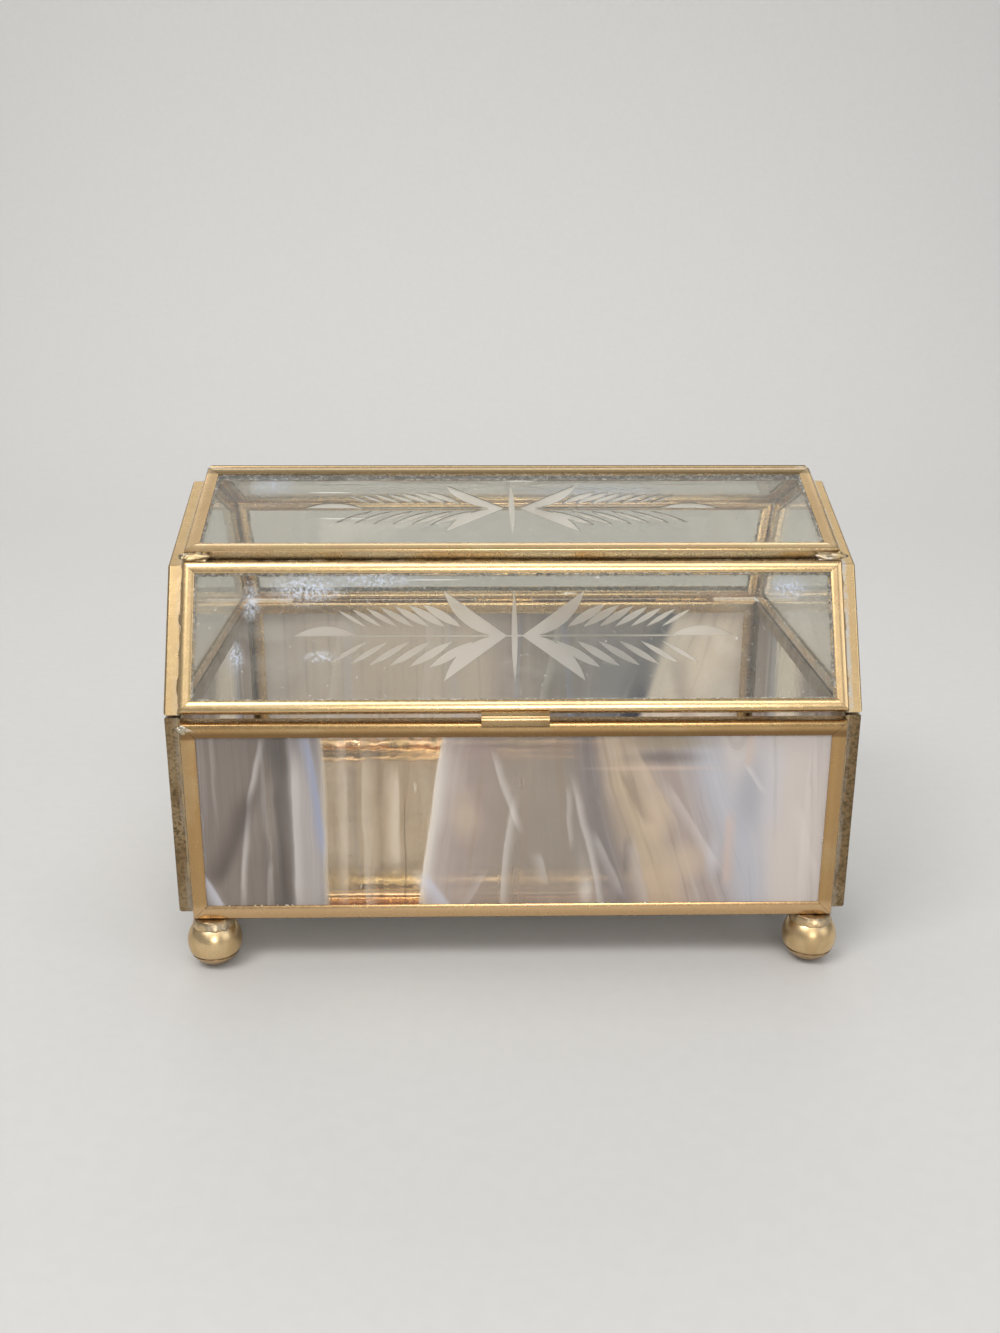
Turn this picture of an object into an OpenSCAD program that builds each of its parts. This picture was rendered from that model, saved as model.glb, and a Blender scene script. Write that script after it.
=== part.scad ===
// Glass casket box: framed glass panes soldered edge to edge, a house-shaped clear lid and a
// streaked-glass base on four ball feet. Millimetres, +Z up. X runs along the box and Y through it.
// The front faces -Y. The origin is the middle of the footprint, level with the table.

/* [Box] */
// Overall length, across the two end walls.
body_l = 152; // [130:1:200]
// Overall depth, across the front and back walls.
body_d = 102; // [92:1:130]
// Height of the base walls, without the feet.
base_h = 46.8; // [35:0.1:70]

/* [Lid] */
// Gap between the rim of the base and the lid, at the inner edge of the lid's walls.
rim_gap = 0.7; // [0.5:0.05:0.9]
// How far the top of the leaning lid wall stands in from its bottom.
shoulder_in = 15.1; // [13:0.1:17]
// Height of the leaning lid wall, from its bottom to the shoulder.
shoulder_rise = 29.6; // [26:0.1:34]
// Height of the ridge above the shoulder.
ridge_rise = 12.9; // [9:0.1:18]

/* [Brass channel] */
// Thickness of the channel, face to face.
came_t = 4; // [3.6:0.1:4.4]
// Width of the lips that hold the base panes.
base_lip = 3.3; // [2.8:0.1:4]
// Width of the lips that hold the floor mirror.
floor_lip = 3.3; // [2.8:0.1:4]
// Width of the lips that hold the lid's wall panes and end panes.
lid_lip = 2.7; // [2.4:0.1:3.5]
// Width of the lips that hold the roof panes.
roof_lip = 3; // [2.4:0.1:3.5]
// Thickness of the brass sheet that the channel is folded from.
came_wall = 0.4; // [0.3:0.05:0.5]
// Radius of the channel's two outer edges.
came_round = 0.7; // [0.5:0.05:0.9]
// How far the crowned outer face of the channel falls from its middle to its edges.
came_crown = 0.15; // [0.05:0.01:0.18]
// Open line left at each mitred corner, measured along the rail.
mitre_gap = 0.1; // [0.05:0.01:0.2]

/* [Glass] */
// Clearance between each face of the glass and the channel.
glass_play = 0.05; // [0.02:0.01:0.1]
// Clearance between the edge of the glass and the bottom of the channel.
edge_play = 0.3; // [0.1:0.05:0.6]

/* [Cut leaf spray] */
// Depth of the wheel cuts in the glass.
cut_depth = 0.3; // [0.1:0.05:0.6]
// Width of the long stem cut.
stem_w = 0.35; // [0.2:0.05:0.6]
// Distance from the middle of the spray to the root of each end leaf.
end_leaf_at = 34; // [32:0.5:36]
// Length of each end leaf.
end_leaf_l = 13.5; // [10:0.5:15]
// Width of each end leaf.
end_leaf_w = 2.2; // [1.5:0.1:3]
// Length of the upright leaf in the middle.
mid_leaf_l = 20.6; // [16:0.2:22]
// Width of the upright leaf in the middle.
mid_leaf_w = 1.3; // [0.8:0.1:2]
// Distance from the middle to the root of the four large leaves.
big_leaf_at = 1.6; // [1:0.1:3]
// Length of the four large leaves.
big_leaf_l = 16.8; // [12:0.2:18]
// Width of the four large leaves.
big_leaf_w = 3.2; // [2:0.1:3.8]
// Angle of the straight edge of the four large leaves to the stem.
big_leaf_angle = 36; // [28:1:38]
// Number of small leaves above each half of the stem.
upper_count = 7; // [4:1:7]
// Distance from the middle to the root of the first small leaf above the stem.
upper_at = 11.6; // [10:0.2:12]
// Distance from each small leaf above the stem to the next.
upper_pitch = 3.4; // [2.8:0.1:3.5]
// Distance of the roots of the small leaves above the stem from it.
upper_off = 2; // [1:0.1:2.4]
// Length of the first small leaf above the stem.
upper_l = 9.6; // [8:0.1:11]
// Number of small leaves below each half of the stem.
lower_count = 6; // [4:1:6]
// Distance from the middle to the root of the first small leaf below the stem.
lower_at = 8.9; // [8:0.1:10]
// Distance from each small leaf below the stem to the next.
lower_pitch = 4.6; // [3.6:0.1:4.8]
// Distance of the roots of the small leaves below the stem from it.
lower_off = 1.2; // [0.8:0.1:2]
// Length of the first small leaf below the stem.
lower_l = 11.2; // [8:0.1:12]
// How much shorter each small leaf is than the one before it.
leaf_step = 0.4; // [0.2:0.02:0.5]
// Width of the first small leaf of each row.
leaf_w = 1.9; // [1.7:0.1:2.2]
// How much narrower each small leaf is than the one before it.
leaf_thin = 0.18; // [0.1:0.01:0.2]
// Angle of the small leaves to the stem.
leaf_angle = 31; // [25:1:34]

/* [Feet] */
// Diameter of the brass balls.
foot_d = 12.2; // [10:0.1:16]
// Diameter of the flat on top of each ball, where it is soldered on.
foot_seat_d = 2.4; // [1.5:0.1:4]
// Diameter of the worn flat under each ball.
foot_flat_d = 2.4; // [1.5:0.1:4]
// How far each ball's centre stands in from the end of the front panel.
foot_in_x = 4.1; // [3:0.1:12]
// How far each ball's centre stands in from the front or back face.
foot_in_y = 2.6; // [2:0.1:8]
// How far the turned ring lies below the ball's centre.
ring_drop = 2.6; // [1:0.1:4]
// Radius of the turned ring's groove.
ring_r = 0.3; // [0.15:0.05:0.5]
// Radius of the solder collar on each ball, against the box.
collar_r = 4.2; // [3.5:0.1:4.8]
// Height of the solder collar.
collar_h = 2.2; // [1.5:0.1:2.8]
// Thickness of the collar's lower edge, where it runs out on the ball.
collar_edge = 0.15; // [0.1:0.05:0.3]

/* [Solder seams] */
// Leg of the fillet where a wall or roof panel meets an end wall.
fillet_leg = 1.3; // [1:0.1:2.6]
// Depth of the solder that runs along the open joints at the shoulders and the ridge.
joint_fill = 1.2; // [1:0.1:2]
// Depth of the solder at both ends of those joints.
joint_end_fill = 3.3; // [2.5:0.1:3.4]
// Length of the deeper solder at each end.
joint_end_l = 5; // [3:0.5:8]

/* [Hinge] */
// Outside diameter of the hinge tube.
tube_d = 1.6; // [1.5:0.05:1.8]
// Diameter of the hinge wire.
wire_d = 0.8; // [0.6:0.05:0.9]
// Radial clearance of the wire in the lid's knuckles.
wire_play = 0.06; // [0.02:0.01:0.09]
// Clearance of the tube from the rim that it turns against.
tube_play = 0.15; // [0.1:0.01:0.2]
// Length of the whole hinge.
hinge_l = 120; // [80:1:122]
// Length of each base knuckle.
base_knuckle_l = 16; // [10:1:20]
// Gap between neighbouring knuckles.
knuckle_gap = 0.3; // [0.2:0.05:0.5]
// Thickness of the solder pad under each knuckle.
pad_t = 1; // [0.8:0.1:1.2]
// Diameter of the upset heads on the wire.
head_d = 1.3; // [1.2:0.1:1.5]
// Length of each upset head.
head_l = 0.5; // [0.3:0.1:1]

/* [Lift tab] */
// Width of the lift tab.
tab_w = 14.5; // [8:0.5:30]
// Thickness of its sheet.
tab_t = 0.7; // [0.5:0.05:0.8]
// How far it reaches in under the lid's front rail.
tab_reach = 2.6; // [2:0.1:3]
// How far its curl starts out past the rail.
tab_out = 0.2; // [0:0.1:1]
// Outer radius of its curled lip.
tab_curl_r = 1.7; // [1.3:0.05:1.8]

/* [Hidden] */
$fn = 96;
// Length by which a cutter overruns the solid that it cuts.
over = 1;
// Half the length of the front, back and roof panels, which stand between the end walls.
panel_half = body_l / 2 - came_t;
// Half the depth between the inner faces of the front and back walls.
room_half = body_d / 2 - came_t;
// Space between the lips of the channel.
slot_t = came_t - 2 * came_wall;
// Glass thickness.
glass_t = slot_t - 2 * glass_play;
// Height of the glass's inner face above a panel's inner face.
glass_z = came_wall + glass_play;
// Inset of the glass's edge from the outline of its panel.
glass_inset = came_wall + edge_play;
// Ball centre, ball radius and the height of the box's underside above the table.
foot_r = foot_d / 2;
seat_z = sqrt(foot_r * foot_r - foot_seat_d * foot_seat_d / 4);
flat_z = sqrt(foot_r * foot_r - foot_flat_d * foot_flat_d / 4);
foot_h = seat_z + flat_z;
// Height of the base's rim.
rim_z = foot_h + base_h;
// Lean of the lid's walls from upright, their length, and the place of their inner bottom edge.
lean = atan(shoulder_in / shoulder_rise);
wall_l = norm([shoulder_in, shoulder_rise]);
lid_y = body_d / 2 - came_t * cos(lean);
lid_z = rim_z + rim_gap;
// Inner edge of the shoulder, slope of the roof and length of a roof panel.
shoulder_y = lid_y - shoulder_in;
shoulder_z = lid_z + shoulder_rise;
slope = atan(ridge_rise / shoulder_y);
roof_l = norm([shoulder_y, ridge_rise]);
// The hinge axis lies the same distance above the base's rim and below the lid's back rail.
hinge_r = tube_d / 2 + tube_play;
hinge_n = (hinge_r + (hinge_r - rim_gap) * cos(lean)) / tan(lean) + (hinge_r - rim_gap) * sin(lean);
hinge_y = lid_y + (hinge_r + (hinge_r - rim_gap) * cos(lean)) / sin(lean);
hinge_z = rim_z + hinge_r;
// Outlines of the panels, anticlockwise, each in its own plane.
front_outline = [
    [-panel_half, 0],
    [panel_half, 0],
    [panel_half, base_h],
    [-panel_half, base_h]
];
end_outline = [
    [-room_half, 0],
    [room_half, 0],
    [room_half, base_h],
    [-room_half, base_h]
];
floor_outline = [
    [-panel_half, -room_half],
    [panel_half, -room_half],
    [panel_half, room_half],
    [-panel_half, room_half]
];
wall_outline = [
    [-panel_half, 0],
    [panel_half, 0],
    [panel_half, wall_l],
    [-panel_half, wall_l]
];
roof_outline = [
    [-panel_half, 0],
    [panel_half, 0],
    [panel_half, roof_l],
    [-panel_half, roof_l]
];
gable_outline = [
    [-lid_y, 0],
    [lid_y, 0],
    [shoulder_y, shoulder_rise],
    [0, shoulder_rise + ridge_rise],
    [-shoulder_y, shoulder_rise]
];
brass = [0.74, 0.58, 0.33];
copper_brass = [0.70, 0.50, 0.30];
solder = [0.66, 0.64, 0.60];
slag = [0.62, 0.58, 0.58];
clear = [0.80, 0.86, 0.84, 0.35];
silver = [0.75, 0.76, 0.77];

// Unit vector along v, and the vector to its left.
function unit(v) = v / norm(v);
function left_of(v) = [-v[1], v[0]];

// Outline moved inwards by d, for an anticlockwise convex outline.
function inset(pts, d) = [
    for (i = [0 : len(pts) - 1])
        let (
            before = left_of(unit(pts[i] - pts[(i + len(pts) - 1) % len(pts)])),
            after = left_of(unit(pts[(i + 1) % len(pts)] - pts[i]))
        )
        pts[i] + d * (before + after) / (1 + before * after)
];

// Section of the channel: outer edge at x = 0, open towards +x, crowned face at the top.
module came_section(lip) {
    crown_r = lip * lip / (8 * came_crown) + came_crown / 2;
    difference() {
        intersection() {
            union() {
                translate([came_round, 0])
                    square([lip - came_round, came_t]);
                translate([0, came_round])
                    square([lip, came_t - 2 * came_round]);
                for (y = [came_round, came_t - came_round])
                    translate([came_round, y])
                        circle(r = came_round);
            }
            translate([lip / 2, came_t - crown_r])
                circle(r = crown_r);
        }
        translate([came_wall, came_wall])
            square([lip, slot_t]);
    }
}

// One length of channel along side i of an outline, mitred at both ends.
module came_rail(pts, i, lip) {
    a = pts[i];
    b = pts[(i + 1) % len(pts)];
    along = unit(b - a);
    outer = inset(pts, -over);
    inner = inset(pts, lip + over);
    j = (i + 1) % len(pts);
    trim = along * mitre_gap / 2;
    intersection() {
        translate(a - along * over)
            rotate(atan2(along[1], along[0]))
                rotate([90, 0, 90])
                    linear_extrude(norm(b - a) + 2 * over)
                        came_section(lip);
        translate([0, 0, -over])
            linear_extrude(came_t + 2 * over)
                polygon([outer[i] + trim, outer[j] - trim, inner[j] - trim, inner[i] + trim]);
    }
}

// Channel frame round a panel. Its inner face is at z = 0 and its outer face at z = came_t.
module came_frame(pts, lip) {
    for (i = [0 : len(pts) - 1])
        came_rail(pts, i, lip);
}

// Glass of a panel.
module pane(pts) {
    translate([0, 0, glass_z])
        linear_extrude(glass_t)
            polygon(inset(pts, glass_inset));
}

// Pointed leaf from the origin along +x.
module leaf(l, w) {
    r = (l * l + w * w) / (4 * w);
    translate([l / 2, 0])
        intersection() {
            translate([0, r - w / 2])
                circle(r);
            translate([0, w / 2 - r])
                circle(r);
        }
}

// Leaf from the origin along +x, with a straight edge on the axis and its belly towards -y.
module half_leaf(l, w) {
    r = (l * l / 4 + w * w) / (2 * w);
    intersection() {
        translate([l / 2, r - w])
            circle(r);
        translate([0, -w - over])
            square([l, w + over]);
    }
}

// One wheel cut, made from the flat shape given as a child.
module cut() {
    linear_extrude(cut_depth + over)
        children();
}

// Row of small leaves above one half of the stem. Each is smaller than the one before it.
module leaf_row(count, at, pitch, off, l) {
    for (i = [0 : count - 1])
        translate([at + pitch * i, off])
            rotate(leaf_angle)
                cut()
                    leaf(l - leaf_step * i, leaf_w - leaf_thin * i);
}

// Cutters of the whole leaf spray, centred on the origin, starting at the bottom of the cuts.
module leaf_spray() {
    rotate(90)
        translate([-mid_leaf_l / 2, 0])
            cut()
                leaf(mid_leaf_l, mid_leaf_w);
    translate([-end_leaf_at - 1, -stem_w / 2])
        cut()
            square([2 * (end_leaf_at + 1), stem_w]);
    for (side = [0, 1])
        mirror([side, 0]) {
            translate([end_leaf_at, 0])
                mirror([0, 1])
                    cut()
                        half_leaf(end_leaf_l, end_leaf_w);
            for (below = [0, 1])
                mirror([0, below])
                    translate([big_leaf_at, 0])
                        rotate(big_leaf_angle)
                            cut()
                                half_leaf(big_leaf_l, big_leaf_w);
            leaf_row(upper_count, upper_at, upper_pitch, upper_off, upper_l);
            mirror([0, 1])
                leaf_row(lower_count, lower_at, lower_pitch, lower_off, lower_l);
        }
}

// Pane with the leaf spray cut into its outer face, at half the panel's height.
module cut_pane(pts, h) {
    difference() {
        pane(pts);
        translate([0, h / 2, glass_z + glass_t - cut_depth])
            leaf_spray();
    }
}

// Places. Each puts a panel drawn flat, with its outer face up, where it belongs.
module at_front() {
    translate([0, -room_half, foot_h])
        rotate([90, 0, 0])
            children();
}

module at_right_end(z) {
    translate([panel_half, 0, z])
        rotate([90, 0, 90])
            children();
}

module at_lid_front() {
    translate([0, -lid_y, lid_z])
        rotate([90 - lean, 0, 0])
            children();
}

module at_roof_front() {
    translate([0, -shoulder_y, shoulder_z])
        rotate([slope, 0, 0])
            children();
}

module at_back() {
    mirror([0, 1, 0])
        children();
}

module at_left() {
    mirror([1, 0, 0])
        children();
}

// Solder fillet section: the corner is at the origin and the legs lie along +x and +y.
module fillet_section() {
    difference() {
        square(fillet_leg);
        translate([fillet_leg * 1.06, fillet_leg * 1.06])
            circle(fillet_leg);
    }
}

// Solder fillets at both ends of a panel of height h, where it meets the end walls.
module end_fillets(h) {
    for (side = [0, 1])
        mirror([side, 0, 0])
            translate([panel_half, h, 0])
                rotate([90, 0, 0])
                    linear_extrude(h)
                        fillet_section();
}

// Solder prism in the open joint between two panels that meet at point p of the lid's section,
// from x to x + l. Angles a and b are those of the two panels' edges.
module joint_bead(p, a, b, depth, x, l) {
    translate([x, 0, 0])
        rotate([90, 0, 90])
            linear_extrude(l)
                polygon([
                    p,
                    p + depth * [cos(a), sin(a)],
                    p + depth * [cos(b), sin(b)]
                ]);
}

// Solder along a whole open joint, deeper at both ends.
module joint_solder(p, a, b) {
    joint_bead(p, a, b, joint_fill, -panel_half, 2 * panel_half);
    for (x = [-panel_half, panel_half - joint_end_l])
        joint_bead(p, a, b, joint_end_fill, x, joint_end_l);
}

// Ball foot under the front right corner.
module ball_foot() {
    translate([panel_half - foot_in_x, foot_in_y - body_d / 2, flat_z])
        difference() {
            intersection() {
                sphere(foot_r);
                translate([-foot_r, -foot_r, -flat_z])
                    cube([foot_d, foot_d, foot_h]);
            }
            rotate_extrude()
                translate([sqrt(foot_r * foot_r - ring_drop * ring_drop), -ring_drop])
                    circle(ring_r);
        }
}

// Solder collar that holds the same ball. It narrows from the ball's side up to the box.
module ball_collar() {
    bottom_z = seat_z - collar_h;
    bottom_r = sqrt(foot_r * foot_r - bottom_z * bottom_z) + collar_edge;
    translate([panel_half - foot_in_x, foot_in_y - body_d / 2, flat_z])
        difference() {
            translate([0, 0, bottom_z])
                cylinder(h = collar_h, r1 = bottom_r, r2 = collar_r);
            sphere(foot_r);
        }
}

// Length of hinge tube from x = 0, with its solder pad reaching down to the rim.
module knuckle(l, bore_r) {
    difference() {
        union() {
            rotate([0, 90, 0])
                cylinder(h = l, r = tube_d / 2);
            translate([0, -pad_t / 2, -hinge_r])
                cube([l, pad_t, hinge_r]);
        }
        translate([-over, 0, 0])
            rotate([0, 90, 0])
                cylinder(h = l + 2 * over, r = bore_r);
    }
}

// Start of base knuckle i of 0 to 2, and length of a lid knuckle between two of them.
function knuckle_x(i) = (i - 1) * (hinge_l - base_knuckle_l) / 2 - base_knuckle_l / 2;
lid_knuckle_l = (hinge_l - 3 * base_knuckle_l) / 2 - 2 * knuckle_gap;

module base_front_glass() {
    color(slag) at_front() pane(front_outline);
}

module base_back_glass() {
    color(slag) at_back() at_front() pane(front_outline);
}

module base_right_glass() {
    color(slag) at_right_end(foot_h) pane(end_outline);
}

module base_left_glass() {
    color(slag) at_left() at_right_end(foot_h) pane(end_outline);
}

module floor_mirror() {
    color(silver) translate([0, 0, foot_h]) pane(floor_outline);
}

module base_front_frame() {
    color(brass) at_front() came_frame(front_outline, base_lip);
}

module base_back_frame() {
    color(brass) at_back() at_front() came_frame(front_outline, base_lip);
}

module base_right_frame() {
    color(copper_brass) at_right_end(foot_h) came_frame(end_outline, base_lip);
}

module base_left_frame() {
    color(copper_brass) at_left() at_right_end(foot_h) came_frame(end_outline, base_lip);
}

module floor_frame() {
    color(copper_brass) translate([0, 0, foot_h]) came_frame(floor_outline, floor_lip);
}

module base_corner_solder() {
    color(solder) {
        at_front() end_fillets(base_h);
        at_back() at_front() end_fillets(base_h);
    }
}

module front_right_foot() {
    color(brass) ball_foot();
}

module front_left_foot() {
    color(brass) at_left() ball_foot();
}

module back_right_foot() {
    color(brass) at_back() ball_foot();
}

module back_left_foot() {
    color(brass) at_left() at_back() ball_foot();
}

module foot_solder() {
    color(solder)
        for (left = [0, 1])
            for (back = [0, 1])
                mirror([left, 0, 0])
                    mirror([0, back, 0])
                        ball_collar();
}

module base_hinge_knuckles() {
    color(brass)
        for (i = [0 : 2])
            translate([knuckle_x(i), hinge_y, hinge_z])
                knuckle(base_knuckle_l, wire_d / 2);
}

module hinge_wire() {
    color(copper_brass)
        translate([0, hinge_y, hinge_z])
            rotate([0, 90, 0]) {
                cylinder(h = hinge_l, d = wire_d, center = true);
                for (side = [0, 1])
                    mirror([0, 0, side])
                        translate([0, 0, hinge_l / 2])
                            cylinder(h = head_l, d = head_d);
            }
}

module lid_front_glass() {
    color(clear) at_lid_front() cut_pane(wall_outline, wall_l);
}

module lid_back_glass() {
    color(clear) at_back() at_lid_front() pane(wall_outline);
}

module roof_front_glass() {
    color(clear) at_roof_front() cut_pane(roof_outline, roof_l);
}

module roof_back_glass() {
    color(clear) at_back() at_roof_front() cut_pane(roof_outline, roof_l);
}

module lid_right_glass() {
    color(clear) at_right_end(lid_z) pane(gable_outline);
}

module lid_left_glass() {
    color(clear) at_left() at_right_end(lid_z) pane(gable_outline);
}

module lid_front_frame() {
    color(brass) at_lid_front() came_frame(wall_outline, lid_lip);
}

module lid_back_frame() {
    color(brass) at_back() at_lid_front() came_frame(wall_outline, lid_lip);
}

module roof_front_frame() {
    color(brass) at_roof_front() came_frame(roof_outline, roof_lip);
}

module roof_back_frame() {
    color(brass) at_back() at_roof_front() came_frame(roof_outline, roof_lip);
}

module lid_right_frame() {
    color(brass) at_right_end(lid_z) came_frame(gable_outline, lid_lip);
}

module lid_left_frame() {
    color(brass) at_left() at_right_end(lid_z) came_frame(gable_outline, lid_lip);
}

module lid_corner_solder() {
    color(solder)
        for (back = [0, 1])
            mirror([0, back, 0]) {
                at_lid_front() end_fillets(wall_l);
                at_roof_front() end_fillets(roof_l);
            }
}

module shoulder_and_ridge_solder() {
    color(solder) {
        for (back = [0, 1])
            mirror([0, back, 0])
                joint_solder([-shoulder_y, shoulder_z], 180 - lean, 90 + slope);
        joint_solder([0, shoulder_z + ridge_rise], 90 + slope, 90 - slope);
    }
}

// The tab's sheet lies under the front rail, then curls out and down.
module lift_tab() {
    color(brass)
        at_lid_front()
            translate([-tab_w / 2, 0, 0])
                rotate([90, 0, 90])
                    linear_extrude(tab_w)
                        union() {
                            translate([-tab_t, came_t - tab_reach])
                                square([tab_t, tab_reach + tab_out]);
                            translate([-tab_curl_r, came_t + tab_out])
                                difference() {
                                    intersection() {
                                        circle(tab_curl_r);
                                        union() {
                                            translate([-over - tab_curl_r, 0])
                                                square([2 * (over + tab_curl_r), over + tab_curl_r]);
                                            rotate(lean)
                                                translate([-over - tab_curl_r, 0])
                                                    square([over + tab_curl_r, over + tab_curl_r]);
                                        }
                                    }
                                    circle(tab_curl_r - tab_t);
                                }
                        }
}

module lid_hinge_knuckles() {
    color(brass)
        at_back()
            at_lid_front()
                for (i = [0, 1])
                    translate([knuckle_x(i) + base_knuckle_l + knuckle_gap, -hinge_r, hinge_n])
                        rotate([90, 0, 0])
                            knuckle(lid_knuckle_l, wire_d / 2 + wire_play);
}

base_front_glass();
base_back_glass();
base_left_glass();
base_right_glass();
floor_mirror();
base_front_frame();
base_back_frame();
base_left_frame();
base_right_frame();
floor_frame();
base_corner_solder();
front_left_foot();
front_right_foot();
back_left_foot();
back_right_foot();
foot_solder();
base_hinge_knuckles();
hinge_wire();
lid_front_glass();
lid_back_glass();
roof_front_glass();
roof_back_glass();
lid_left_glass();
lid_right_glass();
lid_front_frame();
lid_back_frame();
roof_front_frame();
roof_back_frame();
lid_left_frame();
lid_right_frame();
lid_corner_solder();
shoulder_and_ridge_solder();
lift_tab();
lid_hinge_knuckles();
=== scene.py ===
"""Looks of the glass casket box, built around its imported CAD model. Metres, +Z up, front towards -Y."""

import math
import random

import bmesh
import bpy
from mathutils import Matrix, Vector, noise


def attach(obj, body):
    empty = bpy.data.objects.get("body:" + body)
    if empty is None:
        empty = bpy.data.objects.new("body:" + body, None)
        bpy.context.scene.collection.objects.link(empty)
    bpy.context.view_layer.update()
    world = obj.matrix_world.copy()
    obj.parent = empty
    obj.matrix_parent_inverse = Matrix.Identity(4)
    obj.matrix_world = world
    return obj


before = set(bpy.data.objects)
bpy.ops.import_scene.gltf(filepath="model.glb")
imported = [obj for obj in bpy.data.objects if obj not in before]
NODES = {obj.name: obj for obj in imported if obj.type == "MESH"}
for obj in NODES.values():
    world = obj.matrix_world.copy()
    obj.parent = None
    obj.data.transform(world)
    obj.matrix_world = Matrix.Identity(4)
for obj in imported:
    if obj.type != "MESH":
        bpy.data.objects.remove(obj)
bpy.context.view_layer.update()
MM = 0.001

# Sizes and directions of the box that the materials and the small pieces need, in metres and radians
PANEL_HALF = 72.0 * MM
BOX_HALF_Y = 51.0 * MM
FOOT_H = 11.96 * MM
RIM_Z = 58.76 * MM
CAME_T = 4.0 * MM
BASE_LIP = 3.3 * MM
LID_LIP = 2.7 * MM
ROOF_LIP = 3.0 * MM
WALL_L = 33.23 * MM
ROOF_L = 34.82 * MM
LEAN = math.radians(27.03)
SLOPE = math.radians(21.75)
LID_FOOT = Vector((0, -47.44, 59.46)) * MM
SHOULDER = Vector((0, -32.34, 89.06)) * MM
RIDGE = Vector((0, 0, 101.96)) * MM
FOOT_R = 6.1 * MM
FOOT_PLACE = Vector((67.9, 48.4, 5.98)) * MM
GLASS_FACE = 3.55 * MM
CUT_LEVEL = 3.4 * MM
FRONT_FOOT = Vector((0, -(BOX_HALF_Y - CAME_T), FOOT_H))
FRONT_OUT = Vector((0, -1, 0))
FRONT_UP = Vector((0, 0, 1))
WALL_OUT = Vector((0, -math.cos(LEAN), math.sin(LEAN)))
WALL_UP = Vector((0, math.sin(LEAN), math.cos(LEAN)))
ROOF_OUT = Vector((0, -math.sin(SLOPE), math.cos(SLOPE)))
ROOF_UP = Vector((0, math.cos(SLOPE), math.sin(SLOPE)))


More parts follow.
